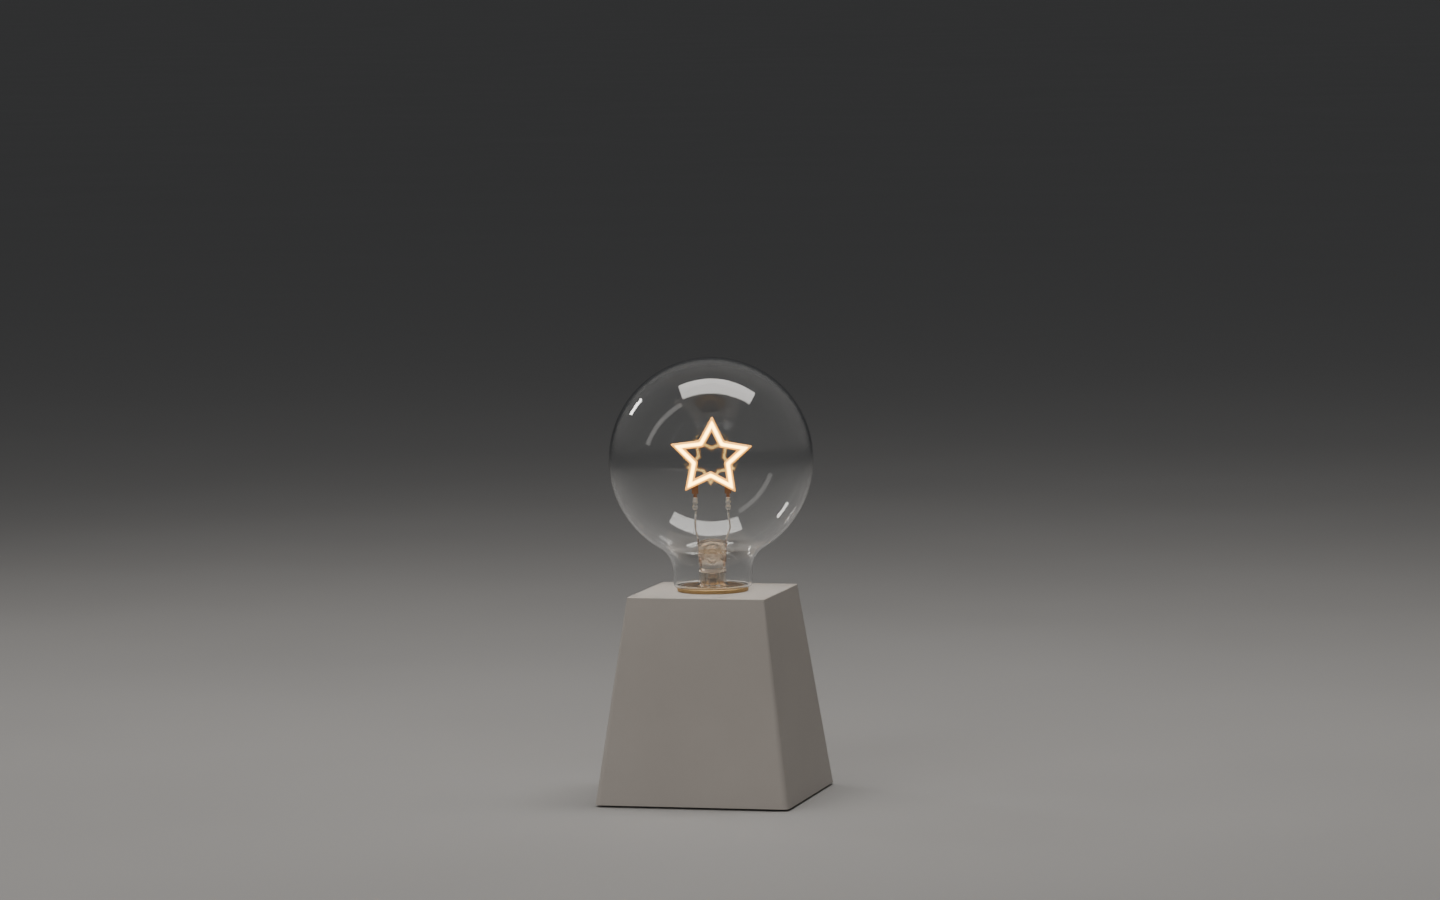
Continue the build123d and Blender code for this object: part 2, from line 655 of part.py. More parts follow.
def make_lead_wires():
    """From the cap up past the exhaust tube and through the pinch, then out to the crimps."""
    from_resistor = [(LEAD_X, 85)]
    from_cap = [(CAP_INNER_R - 0.1, 87), (6.5, 87), (LEAD_X, 93)]
    leads = []
    for side, belly_x, start in ((-1, 7.7, from_resistor), (1, 8.4, from_cap)):
        inside = start + [(LEAD_X, STEM_TOP_Z + 1.5), (6.2, PINCH_Z)]
        points = [(side * x, 0, z) for x, z in inside]
        points += [(side * 6.6, -0.3, PINCH_TOP_Z + 0.2), (side * belly_x, -3.2, 125.5),
                   (side * TAB_X, STAR_Y, 132), (side * TAB_X, STAR_Y, CRIMP_BOTTOM_Z + 3)]
        leads.append(wire(points, LEAD_R, 1.5))
    return leads


# ---------------------------------------------------------------- bulb: cap
def make_cap_collar():
    collar = pipe(COLLAR_R, COLLAR_BORE_R, COLLAR_Z, GLASS_BOTTOM_Z)
    rim = collar.edges().filter_by(GeomType.CIRCLE).group_by(SortBy.RADIUS)[-1]
    return fillet(rim, 0.4)


def make_cap_shell():
    """Plain sleeve over the thread, with a shoulder under the collar and a rolled-in end."""
    return turned([(CAP_R, COLLAR_Z), (CAP_R, CAP_BOTTOM_Z + 3), (9.6, CAP_BOTTOM_Z), (9.2, CAP_BOTTOM_Z),
                   (9.2, CAP_BOTTOM_Z + 1), (CAP_INNER_R, CAP_BOTTOM_Z + 3.5), (CAP_INNER_R, COLLAR_Z)])


def make_cap_insulator():
    return turned([(1.6, CAP_BOTTOM_Z + 1.5), (8.9, CAP_BOTTOM_Z + 1.5), (8.9, CAP_BOTTOM_Z - 0.2),
                   (6.0, CAP_BOTTOM_Z - 2.5), (1.6, CAP_BOTTOM_Z - 2.5)])


def make_cap_contact():
    low = CAP_BOTTOM_Z - 3.7
    face = rod(4.8, low, CAP_BOTTOM_Z - 2.5)
    face = fillet(face.edges().group_by(Axis.Z)[0], 0.8)
    return face + rod(1.5, CAP_BOTTOM_Z - 2.5, CAP_BOTTOM_Z - 1.0)


def make_cap_resistor():
    return fillet(rod(1.3, 78, 85, -LEAD_X).edges(), 0.4)


def make_contact_wire():
    return wire([(-LEAD_X, 0, 78), (-LEAD_X, 0, 75.6), (0, 0, 73.6), (0, 0, CAP_BOTTOM_Z - 0.9)], LEAD_R, 0.8)


# ---------------------------------------------------------------- write the nodes
def nodes():
    """Every separate piece, by node name. A list is a group of separate solids."""
    made = {
        "base_shell": make_base_shell(),
        "bottom_plate": make_bottom_plate(),
        "plate_screws": make_plate_screws(),
        "feet": make_feet(),
        "battery_tray": make_battery_tray(),
        "tray_screws": make_tray_screws(),
        "battery_door": make_battery_door(),
        "battery_springs": make_battery_springs(),
        "battery_contacts": make_battery_contacts(),
        "battery_wires": make_battery_wires(),
        "circuit_board": make_circuit_board(),
        "board_screws": make_board_screws(),
        "board_connectors": make_board_connectors(),
        "timer_chip": make_timer_chip(),
        "capacitor": make_capacitor(),
        "resistors": make_resistors(),
        "switch_body": make_switch_body(),
        "switch_pins": make_switch_pins(),
        "switch_knob": make_switch_knob(),
        "switch_wires": make_switch_wires(),
        "lampholder_body": make_lampholder_body(),
        "lampholder_sleeve": make_lampholder_sleeve(),
        "lampholder_contact": make_lampholder_contact(),
        "lampholder_terminals": make_lampholder_terminals(),
        "lampholder_screws": make_lampholder_screws(),
        "holder_wires": make_holder_wires(),
        "cap_insulator": make_cap_insulator(),
        "cap_contact": make_cap_contact(),
        "cap_shell": make_cap_shell(),
        "cap_collar": make_cap_collar(),
        "bulb_glass": make_bulb_glass(),
    }
    for i, (x, end) in enumerate(cell_places(), start=1):
        made[f"battery_{i}"] = make_battery(x, end)
    turn = Rot(0, 0, BULB_TURN)
    for name, solids in bulb_internals().items():
        made[name] = [turn * solid for solid in solids]
    return made


def bulb_internals():
    """The pieces that face the way the bulb's star faces, before they are turned with it."""
    return {
        "stem_glass": [make_stem_glass()],
        "exhaust_tube": [make_exhaust_tube()],
        "lead_wires": make_lead_wires(),
        "lead_crimps": make_lead_crimps(),
        "star_substrate": [make_star_substrate()],
        "star_filament": make_star_filament(),
        "cap_resistor": [make_cap_resistor()],
        "contact_wire": [make_contact_wire()],
    }


os.makedirs("parts", exist_ok=True)
for name, made in nodes().items():
    solids = made if isinstance(made, list) else [made]
    shape = Compound(children=solids) if len(solids) > 1 else solids[0]
    export_step(shape, f"parts/{name}.step")
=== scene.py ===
"""Looks for the cordless star-filament lamp: blown glass, lit filament, screw threads, coatings."""

import json
from math import atan2, copysign, cos, degrees, exp, floor, hypot, pi, radians, sin, sqrt

import bmesh
import bpy
from mathutils import Matrix, Vector


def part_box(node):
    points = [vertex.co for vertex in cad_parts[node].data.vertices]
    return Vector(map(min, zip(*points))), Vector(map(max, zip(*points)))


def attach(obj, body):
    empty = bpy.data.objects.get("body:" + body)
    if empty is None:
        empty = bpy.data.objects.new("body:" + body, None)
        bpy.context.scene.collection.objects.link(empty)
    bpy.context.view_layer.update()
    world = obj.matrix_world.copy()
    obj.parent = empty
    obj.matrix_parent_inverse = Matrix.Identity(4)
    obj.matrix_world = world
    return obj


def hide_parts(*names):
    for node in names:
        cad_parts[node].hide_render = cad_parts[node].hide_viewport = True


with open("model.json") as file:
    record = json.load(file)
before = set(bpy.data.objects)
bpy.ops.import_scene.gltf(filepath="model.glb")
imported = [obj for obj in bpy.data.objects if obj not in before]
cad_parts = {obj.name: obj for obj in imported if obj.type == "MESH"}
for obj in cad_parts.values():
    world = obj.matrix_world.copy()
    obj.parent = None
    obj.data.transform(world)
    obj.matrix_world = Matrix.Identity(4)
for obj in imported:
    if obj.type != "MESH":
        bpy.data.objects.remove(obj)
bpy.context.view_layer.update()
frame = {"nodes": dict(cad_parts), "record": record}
MM = 0.001
nodes = frame["nodes"]


# ---------------------------------------------------------------- meshes
def add_object(name, data):
    obj = bpy.data.objects.new(name, data)
    bpy.context.collection.objects.link(obj)
    return obj


def add_mesh(name, verts, faces, smooth=True, uvs=None):
    """A mesh object from vertices in metres."""
    mesh = bpy.data.meshes.new(name)
    mesh.from_pydata([tuple(v) for v in verts], [], faces)
    if uvs:
        layer = mesh.uv_layers.new(name="UVMap")
        for loop in mesh.loops:
            layer.data[loop.index].uv = uvs[loop.vertex_index]
    mesh.polygons.foreach_set("use_smooth", [smooth] * len(mesh.polygons))
    mesh.validate()
    return add_object(name, mesh)


def arc(centre, radius, start, end, steps):
    """Points (r, z) on an arc, angles in degrees, both ends included."""
    angles = [radians(start + (end - start) * i / steps) for i in range(steps + 1)]
    return [(centre[0] + radius * cos(a), centre[1] + radius * sin(a)) for a in angles]


def run(start, end, steps):
    """Points from start to end, both included."""
    return [tuple(a + (b - a) * i / steps for a, b in zip(start, end)) for i in range(steps + 1)]


def bridge(first, second):
    """Faces between two rings of vertices, either of which may be a single pole."""
    count = max(len(first), len(second))
    faces = []
    for i in range(count):
        j = (i + 1) % count
        if len(first) == 1:
            faces.append((first[0], second[i], second[j]))
        elif len(second) == 1:
            faces.append((first[i], second[0], first[j]))
        else:
            faces.append((first[i], second[i], second[j], first[j]))
    return faces


def bridge_all(rows, closed):
    """Faces between each row of vertices and the next, and back to the first if closed."""
    onward = rows[1:] + rows[:1] if closed else rows[1:]
    return [face for first, second in zip(rows, onward) for face in bridge(first, second)]


def face_outwards(obj):
    """Make a closed mesh's faces point outwards."""
    mesh = bmesh.new()
    mesh.from_mesh(obj.data)
    bmesh.ops.recalc_face_normals(mesh, faces=mesh.faces)
    mesh.to_mesh(obj.data)
    mesh.free()
    return obj


def lathe(name, profile, turns=144, closed=False):
    """A profile of (r, z) points in millimetres turned about the lamp's axis. r = 0 is a pole."""
    verts, rings = [], []
    for r, z in profile:
        if r < 1e-6:
            rings.append([len(verts)])
            verts.append((0, 0, z * MM))
            continue
        rings.append(list(range(len(verts), len(verts) + turns)))
        for i in range(turns):
            angle = 2 * pi * i / turns
            verts.append((r * MM * cos(angle), r * MM * sin(angle), z * MM))
    return face_outwards(add_mesh(name, verts, bridge_all(rings, closed)))


def skin(name, rings, closed=False, uvs=None):
    """A skin over rings of equally many points in millimetres, with flat ends unless closed."""
    count = len(rings[0])
    verts = [tuple(c * MM for c in point) for ring in rings for point in ring]
    rows = [list(range(count * k, count * (k + 1))) for k in range(len(rings))]
    faces = bridge_all(rows, closed)
    if not closed:
        faces += [tuple(reversed(rows[0])), tuple(rows[-1])]
    return face_outwards(add_mesh(name, verts, faces, uvs=uvs))


def squircle(a, b, power, count):
    """Points (x, y) of a superellipse with half widths a and b."""
    points = []
    for i in range(count):
        angle = 2 * pi * i / count
        c, s = cos(angle), sin(angle)
        x = a * abs(c) ** (2 / power) * (1 if c >= 0 else -1)
        y = b * abs(s) ** (2 / power) * (1 if s >= 0 else -1)
        points.append((x, y))
    return points


# ---------------------------------------------------------------- sizes, in millimetres
glass_low, glass_high = [[c / MM for c in corner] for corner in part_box("bulb_glass")]
GLOBE_R = 47.5
GLOBE_Z = glass_high[2] - GLOBE_R
GLASS_BOTTOM_Z = glass_low[2]
GLASS_T = 0.9
NECK_R = 18.35
NECK_REF_Z = 100.0
NECK_TAPER = 2.0
NECK_FILLET = 11.5
HEEL_R = 1.6
SEAL_R = 15.0

BULB_TURN = 14.4
STEM_R = 6.0
FLARE_R = 2.0
STEM_TOP_Z = 108.0
STEM_HOLLOW_Z = STEM_TOP_Z - 3.2
STEM_POINTS = 160
PINCH_Z = 116.0
PINCH_TOP_Z = 120.3
PINCH_HALF_X = 7.2
PINCH_WAIST_X = 6.5
PINCH_HALF_Y = 2.2
PINCH_CROWN_R = 18.0
PINCH_LIP = 1.3
BLOW_HOLE_Z = 112.4

STAR_Z = 158.6
STAR_Y = -8.0
STAR_TIP_R = 19.0
STAR_NOTCH_R = 9.6
STAR_STRETCH = 1.035
STAR_STRIP = 2.9
STAR_RIM = 0.16  # the phosphor's soft edge beyond the strip
STAR_DEPTH = 1.8
STAR_TILT = 2.0
TAB_X = 7.6
CRIMP_LOW_Z = 134.6
CRIMP_HIGH_Z = 140.4
CRIMP_HALF_X = 1.12
CRIMP_HALF_Y = 0.82
LEAD_R = 0.4
LEAD_X = 3.8

THREAD_PITCH = 3.629
THREAD_CREST_R = 13.05
THREAD_ROOT_R = 12.15
THREAD_DEPTH = THREAD_CREST_R - THREAD_ROOT_R
THREAD_LOW_Z = 75.4
THREAD_HIGH_Z = 92.5
THREAD_POINTS = 120
CAP_TOP_Z = 96.1
CAP_TOP_R = 13.0


# ---------------------------------------------------------------- materials
def material(name):
    mat = bpy.data.materials.new(name)
    mat.use_nodes = True
    tree = mat.node_tree
    return mat, tree, tree.nodes["Principled BSDF"]


def add(tree, kind, **values):
    """A shader node, with its properties and input values set by name."""
    node = tree.nodes.new(kind)
    for key, value in values.items():
        name = key.replace("_", " ").title()
        if name in node.inputs:
            node.inputs[name].default_value = value
        else:
            setattr(node, key, value)
    return node


def place(tree, stretch=(1, 1, 1)):
    """The piece's own coordinates in metres, stretched."""
    coords = add(tree, "ShaderNodeTexCoord")
    mapping = add(tree, "ShaderNodeMapping")
    mapping.inputs["Scale"].default_value = stretch
    tree.links.new(coords.outputs["Object"], mapping.inputs["Vector"])
    return mapping.outputs["Vector"]


def noise(tree, vector, scale, detail=3.0, roughness=0.55):
    node = add(tree, "ShaderNodeTexNoise", scale=scale, detail=detail, roughness=roughness)
    tree.links.new(vector, node.inputs["Vector"])
    return node.outputs["Fac"]


def parts(tree, vector):
    """A vector's X, Y and Z outputs."""
    split = add(tree, "ShaderNodeSeparateXYZ")
    tree.links.new(vector, split.inputs["Vector"])
    return split.outputs


def across_axis(tree, where):
    """A place's part across the lamp's axis, with no height."""
    flat = add(tree, "ShaderNodeVectorMath", operation="MULTIPLY")
    flat.inputs[1].default_value = (1, 1, 0)
    tree.links.new(where, flat.inputs[0])
    return flat.outputs["Vector"]


def span(tree, value, low, high, start=0.3, end=0.7):
    """Map a value from start..end to low..high."""
    node = add(tree, "ShaderNodeMapRange")
    node.inputs["From Min"].default_value = start
    node.inputs["From Max"].default_value = end
    node.inputs["To Min"].default_value = low
    node.inputs["To Max"].default_value = high
    tree.links.new(value, node.inputs["Value"])
    return node.outputs["Result"]


def blend_colours(tree, factor, first, second):
    node = add(tree, "ShaderNodeMix", data_type="RGBA")
    colours = [socket for socket in node.inputs if socket.type == "RGBA"]
    for socket, colour in zip(colours, (first, second)):
        if isinstance(colour, bpy.types.NodeSocket):
            tree.links.new(colour, socket)
        else:
            socket.default_value = (*colour, 1)
    tree.links.new(factor, node.inputs["Factor"])
    return [socket for socket in node.outputs if socket.type == "RGBA"][0]


def bump(tree, height, strength, distance, normal=None):
    node = add(tree, "ShaderNodeBump", strength=strength, distance=distance)
    tree.links.new(height, node.inputs["Height"])
    if normal is not None:
        tree.links.new(normal, node.inputs["Normal"])
    return node.outputs["Normal"]


def shade(colour, factor):
    return tuple(min(1.0, c * factor) for c in colour)


def surface(name, colour, rough, metallic=0.0, mottle=0.06, mottle_scale=60, grain=0.08,
            grain_scale=1500, grain_depth=0.00004, stretch=(1, 1, 1), coat=0.0, specular=0.5):
    """A solid finish: mottled colour, uneven gloss and a fine grain."""
    mat, tree, bsdf = material(name)
    where = place(tree, stretch)
    cloud = noise(tree, where, mottle_scale)
    fine = noise(tree, where, grain_scale, detail=2.0)
    darker, lighter = shade(colour, 1 - mottle), shade(colour, 1 + mottle)
    tint = blend_colours(tree, span(tree, cloud, 0, 1), darker, lighter)
    tree.links.new(tint, bsdf.inputs["Base Color"])
    tree.links.new(span(tree, cloud, rough * 0.88, min(1.0, rough * 1.12)), bsdf.inputs["Roughness"])
    tree.links.new(bump(tree, fine, grain, grain_depth), bsdf.inputs["Normal"])
    bsdf.inputs["Metallic"].default_value = metallic
    bsdf.inputs["Coat Weight"].default_value = coat
    bsdf.inputs["Specular IOR Level"].default_value = specular
    return mat


def base_coating():
    """Matt greige coating: a very fine even texture, faint clouds, and gloss that varies slightly from
    cloud to cloud.
    """
    mat, tree, bsdf = material("base_coating")
    where = place(tree)
    cloud = noise(tree, where, 22, detail=4.0)
    speck = noise(tree, where, 2600, detail=2.0)
    grit = noise(tree, where, 700, detail=3.0)
    clouded = blend_colours(tree, span(tree, cloud, 0, 1), (0.430, 0.398, 0.368), (0.462, 0.430, 0.398))
    specks = span(tree, speck, 0, 0.22, 0.60, 0.78)
    speckled = blend_colours(tree, specks, clouded, (0.36, 0.33, 0.30))
    tree.links.new(speckled, bsdf.inputs["Base Color"])
    tree.links.new(span(tree, cloud, 0.50, 0.60), bsdf.inputs["Roughness"])
    coarse = bump(tree, grit, 0.10, 0.00006)
    tree.links.new(bump(tree, speck, 0.16, 0.00003, coarse), bsdf.inputs["Normal"])
    bsdf.inputs["Specular IOR Level"].default_value = 0.42
    return mat


def clear_glass(name, tint, ripple):
    """Blown glass with a faint waviness. Lamps shine through it, so it casts no dark shadow."""
    mat, tree, bsdf = material(name)
    bsdf.inputs["Base Color"].default_value = (*tint, 1)
    bsdf.inputs["Transmission Weight"].default_value = 1.0
    bsdf.inputs["IOR"].default_value = 1.5
    where = place(tree, (1, 1, 0.6))
    wave = noise(tree, where, 45, detail=1.5)
    film = noise(tree, where, 90, detail=4.0)
    tree.links.new(span(tree, film, 0.0, 0.012, 0.45, 0.75), bsdf.inputs["Roughness"])
    tree.links.new(bump(tree, wave, ripple, 0.0004), bsdf.inputs["Normal"])
    clear = add(tree, "ShaderNodeBsdfTransparent")
    clear.inputs["Color"].default_value = (0.94, 0.945, 0.945, 1)
    path = add(tree, "ShaderNodeLightPath")
    mix = add(tree, "ShaderNodeMixShader")
    tree.links.new(path.outputs["Is Shadow Ray"], mix.inputs["Fac"])
    tree.links.new(bsdf.outputs["BSDF"], mix.inputs[1])
    tree.links.new(clear.outputs["BSDF"], mix.inputs[2])
    output = next(node for node in tree.nodes if node.type == "OUTPUT_MATERIAL")
    tree.links.new(mix.outputs["Shader"], output.inputs["Surface"])
    return mat


def pinched_glass():
    """The stem's glass: clear in the tube, warm and cloudy in the pinch, with painted shade in the creases
    round the blow hole, and dark brown at its lip.
    """
    tube, warm_glass, painted_crease_shade, dark_brown_lip = (
        (0.93, 0.87, 0.80), (0.92, 0.75, 0.56), (0.52, 0.39, 0.28), (0.10, 0.065, 0.04))
    mat = clear_glass("stem_glass_pinched", tube, 0.14)
    tree = mat.node_tree
    bsdf = tree.nodes["Principled BSDF"]
    where = place(tree)
    height = parts(tree, where)["Z"]
    # the arched top: height plus across squared over twice the arch's radius
    flat = across_axis(tree, where)
    square = add(tree, "ShaderNodeVectorMath", operation="DOT_PRODUCT")
    tree.links.new(flat, square.inputs[0])
    tree.links.new(flat, square.inputs[1])
    arched = add(tree, "ShaderNodeMath", operation="MULTIPLY_ADD")
    arched.inputs[1].default_value = 1 / (2 * PINCH_CROWN_R * MM)
    tree.links.new(square.outputs["Value"], arched.inputs[0])
    tree.links.new(height, arched.inputs[2])
    # painted shade in the creases of the tongs' marks round the blow hole
    from_hole = add(tree, "ShaderNodeVectorMath", operation="SUBTRACT")
    from_hole.inputs[1].default_value = (0, 0, BLOW_HOLE_Z * MM)
    tree.links.new(where, from_hole.inputs[0])
    marks = add(tree, "ShaderNodeTexWave", wave_type="RINGS", rings_direction="SPHERICAL", scale=190.0)
    tree.links.new(from_hole.outputs["Vector"], marks.inputs["Vector"])
    # painted shade: the ring pattern darkens the glass along the creases round the blow hole
    crease_shade_mask = span(tree, marks.outputs["Fac"], 0, 1, 0.55, 0.95)
    marked = blend_colours(tree, crease_shade_mask, warm_glass, painted_crease_shade)
    warm = blend_colours(tree, span(tree, height, 0, 1, 0.1075, 0.1100), tube, marked)
    # a dark brown band along the pinch's arched lip
    lip = span(tree, arched.outputs["Value"], 0, 1, 0.1188, 0.1194)
    tree.links.new(blend_colours(tree, lip, warm, dark_brown_lip), bsdf.inputs["Base Color"])
    tree.links.new(span(tree, height, 0.98, 0.88, 0.1065, 0.1095), bsdf.inputs["Transmission Weight"])
    return mat


def glowing_phosphor():
    """Lit phosphor: cream along the strip's middle, amber at its edges, over a row of chips."""
    cream, amber, between_chips = (1.0, 0.62, 0.14), (1.0, 0.34, 0.02), (1.0, 0.48, 0.06)
    mat, tree, bsdf = material("glowing_phosphor")
    coords = add(tree, "ShaderNodeTexCoord")
    from_middle = parts(tree, coords.outputs["UV"])["Y"]
    chips = add(tree, "ShaderNodeTexWave", wave_type="BANDS", bands_direction="X", scale=36.0,
                distortion=0.6)
    tree.links.new(coords.outputs["UV"], chips.inputs["Vector"])
    glow = blend_colours(tree, span(tree, from_middle, 0, 1, 0.34, 0.62), cream, amber)
    gaps = span(tree, chips.outputs["Fac"], 0, 0.35, 0.0, 0.5)
    tree.links.new(blend_colours(tree, gaps, glow, between_chips), bsdf.inputs["Emission Color"])
    strength = add(tree, "ShaderNodeMath", operation="MULTIPLY")
    tree.links.new(span(tree, from_middle, 15.0, 1.9, 0.30, 0.60), strength.inputs[0])
    tree.links.new(span(tree, chips.outputs["Fac"], 0.85, 1.1, 0.0, 1.0), strength.inputs[1])
    tree.links.new(strength.outputs["Value"], bsdf.inputs["Emission Strength"])
    bsdf.inputs["Base Color"].default_value = (0.95, 0.62, 0.22, 1)
    bsdf.inputs["Roughness"].default_value = 0.6
    return mat


def amber_substrate():
    """The strip's ceramic carrier and its feed tabs, with a faint painted glow standing in for the
    phosphor's light on them.
    """
    mat = surface("amber_substrate", (0.15, 0.055, 0.010), 0.4, mottle=0.25, mottle_scale=900)
    bsdf = mat.node_tree.nodes["Principled BSDF"]
    # painted glow: a faint amber emission stands in for the phosphor's light on the carrier
    bsdf.inputs["Emission Color"].default_value = (1.0, 0.30, 0.03, 1)
    bsdf.inputs["Emission Strength"].default_value = 0.04
    return mat


def sealed_wire():
    """Nickel wire, with the copper-coated length that takes the seal inside the glass."""
    mat, tree, bsdf = material("sealed_wire")
    where = place(tree)
    height = parts(tree, where)["Z"]
    in_glass = add(tree, "ShaderNodeMath", operation="MULTIPLY")
    tree.links.new(span(tree, height, 0, 1, 0.1070, 0.1085), in_glass.inputs[0])
    tree.links.new(span(tree, height, 1, 0, 0.1195, 0.1208), in_glass.inputs[1])
    nickel, copper = (0.72, 0.69, 0.64), (0.42, 0.25, 0.17)
    tint = blend_colours(tree, in_glass.outputs["Value"], nickel, copper)
    tree.links.new(tint, bsdf.inputs["Base Color"])
    tree.links.new(span(tree, noise(tree, where, 900), 0.18, 0.32), bsdf.inputs["Roughness"])
    bsdf.inputs["Metallic"].default_value = 1.0
    return mat


def turned_brass():
    """Brass with fine turning marks round the axis and slight tarnish."""
    mat, tree, bsdf = material("collar_brass")
    where = place(tree)
    radius = add(tree, "ShaderNodeVectorMath", operation="LENGTH")
    tree.links.new(across_axis(tree, where), radius.inputs[0])
    rings = add(tree, "ShaderNodeTexNoise", noise_dimensions="1D", scale=3500.0, detail=2.0)
    tree.links.new(radius.outputs["Value"], rings.inputs["W"])
    cloud = noise(tree, where, 160)
    tint = blend_colours(tree, span(tree, cloud, 0, 1), (0.48, 0.31, 0.14), (0.68, 0.48, 0.25))
    tree.links.new(tint, bsdf.inputs["Base Color"])
    tree.links.new(span(tree, cloud, 0.42, 0.58), bsdf.inputs["Roughness"])
    tree.links.new(bump(tree, rings.outputs["Fac"], 0.25, 0.00003), bsdf.inputs["Normal"])
    bsdf.inputs["Metallic"].default_value = 1.0
    return mat


def material_library():
    """One procedural material for each of the record's material slots."""
    along_z = (1, 1, 0.05)
    return {
        "base_paint": base_coating(),
        "black_plastic": surface("black_plastic", (0.022, 0.022, 0.023), 0.55, grain=0.35,
                                 grain_scale=1800),
        "screw_steel": surface("screw_steel", (0.50, 0.49, 0.47), 0.32, metallic=1.0, mottle_scale=500),
        "foot_rubber": surface("foot_rubber", (0.032, 0.032, 0.034), 0.8, grain=0.4, grain_scale=1200),
        "cell_wrap": surface("cell_wrap", (0.05, 0.16, 0.12), 0.3, coat=0.5, mottle=0.03),
        "spring_steel": surface("spring_steel", (0.62, 0.60, 0.57), 0.24, metallic=1.0, mottle_scale=400),
        "wire_cover": surface("wire_cover", (0.40, 0.03, 0.02), 0.38, grain=0.05),
        "board_green": surface("board_green", (0.02, 0.13, 0.05), 0.35, coat=0.4, mottle=0.12,
                               mottle_scale=300),
        "white_plastic": surface("white_plastic", (0.74, 0.73, 0.69), 0.42, grain=0.12),
        "chip_black": surface("chip_black", (0.026, 0.026, 0.028), 0.6, grain=0.3, grain_scale=3000),
        "can_aluminium": surface("can_aluminium", (0.72, 0.72, 0.73), 0.28, metallic=1.0, stretch=along_z),
        "holder_plastic": surface("holder_plastic", (0.040, 0.038, 0.036), 0.48, grain=0.2),
        "contact_brass": surface("contact_brass", (0.66, 0.47, 0.20), 0.3, metallic=1.0, mottle=0.15),
        "cap_glass": surface("cap_glass", (0.015, 0.015, 0.02), 0.12, coat=0.8, mottle=0.2),
        "cap_nickel": surface("cap_nickel", (0.64, 0.58, 0.46), 0.25, metallic=1.0, mottle=0.08,
                              mottle_scale=250),
        "collar_brass": turned_brass(),
        "resistor_body": surface("resistor_body", (0.52, 0.38, 0.20), 0.4, coat=0.3),
        "lead_metal": surface("lead_metal", (0.88, 0.85, 0.80), 0.33, metallic=1.0, mottle=0.1,
                              mottle_scale=900),
        "clear_glass": clear_glass("globe_glass", (0.985, 0.99, 0.99), 0.05),
        "substrate_amber": amber_substrate(),
        "phosphor_glow": glowing_phosphor(),
    }


library = material_library()
slot_of = {part["node"]: part["material_slot"] for part in frame["record"]["subparts"]}


def dress(obj, mat):
    obj.data.materials.clear()
    obj.data.materials.append(mat)


def stand_for(piece, body, *replaced, mat=None):
    """Ride a new piece on a body in place of CAD nodes, with the first one's finish."""
    finish = slot_of[replaced[0]]
    dress(piece, mat or library[finish])
    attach(piece, body)
    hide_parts(*replaced)


for node, finish in slot_of.items():
    dress(nodes[node], library[finish])


# ---------------------------------------------------------------- bulb glass
def bulb_profile(inset):
    """Half the bulb's outline, inset from the outside, from its pole down to the end of the heel."""
    taper = radians(NECK_TAPER)
    along = (sin(taper), cos(taper))
    outward = (cos(taper), -sin(taper))
    reach = GLOBE_R + NECK_FILLET
    start = (NECK_R + NECK_FILLET * outward[0], NECK_REF_Z + NECK_FILLET * outward[1] - GLOBE_Z)
    b = start[0] * along[0] + start[1] * along[1]
    step = -b - sqrt(b * b - start[0] ** 2 - start[1] ** 2 + reach**2)
    bend = (start[0] + step * along[0], start[1] + step * along[1] + GLOBE_Z)
    low = degrees(atan2(bend[1] - GLOBE_Z, bend[0]))
    globe = arc((0, GLOBE_Z), GLOBE_R - inset, 90, low, 90)
    fillet = arc(bend, NECK_FILLET + inset, low + 180, 180 - NECK_TAPER, 16)
    heel_z = GLASS_BOTTOM_Z + HEEL_R
    down = (heel_z + HEEL_R * outward[1] - NECK_REF_Z) / along[1]
    heel = (NECK_R + down * along[0] - HEEL_R * outward[0], heel_z)
    heel_arc = arc(heel, HEEL_R - inset, -NECK_TAPER, -90, 12)
    neck = run(fillet[-1], heel_arc[0], 6)[1:-1]
    return globe + fillet[1:] + neck + heel_arc


def make_globe():
    """The glass envelope, open below at the seal with the stem."""
    outside = bulb_profile(0)
    inside = bulb_profile(GLASS_T)
    rim = run((SEAL_R, GLASS_BOTTOM_Z), (SEAL_R, GLASS_BOTTOM_Z + GLASS_T), 2)
    stand_for(lathe("globe_glass", outside + rim + inside[::-1]), "bulb", "bulb_glass")


# ---------------------------------------------------------------- stem
def face_star(obj):
    """Turn a new piece about the lamp's axis, to face the way the star does."""
    obj.data.transform(Matrix.Rotation(radians(BULB_TURN), 4, "Z"))
    return obj


def smoothstep(share):
    return share * share * (3 - 2 * share)


def hump(distance, width):
    return exp(-((distance / width) ** 2))


def stem_ring(half_x, half_y, power, z, droop=0.0):
    """One ring of the stem; droop lowers it towards its ends, as on the pinch's arched top."""
    ring = []
    for x, y in squircle(half_x, half_y, power, STEM_POINTS):
        ring.append((x, y, z - droop * x * x / (2 * PINCH_CROWN_R)))
    return ring


def pressed(ring):
    """The tongs' marks on a ring of the pinch: ripples round the blow hole, swellings over the wires."""
    marked = []
    for x, y, z in ring:
        hole = hypot(x, z - BLOW_HOLE_Z)
        ripples = hump(hole - 1.2, 0.35) + hump(hole - 2.6, 0.45)
        if z > BLOW_HOLE_Z:
            ripples += 0.8 * hump(hole - 4.4, 0.5)
        seal = 0.35 * hump(abs(x) - 5.0, 0.7) * smoothstep(min(1.0, max(0.0, (z - STEM_TOP_Z) / 3)))
        marked.append((x, y - copysign(min(0.8 * ripples - seal, 0.8 * abs(y)), y), z))
    return marked


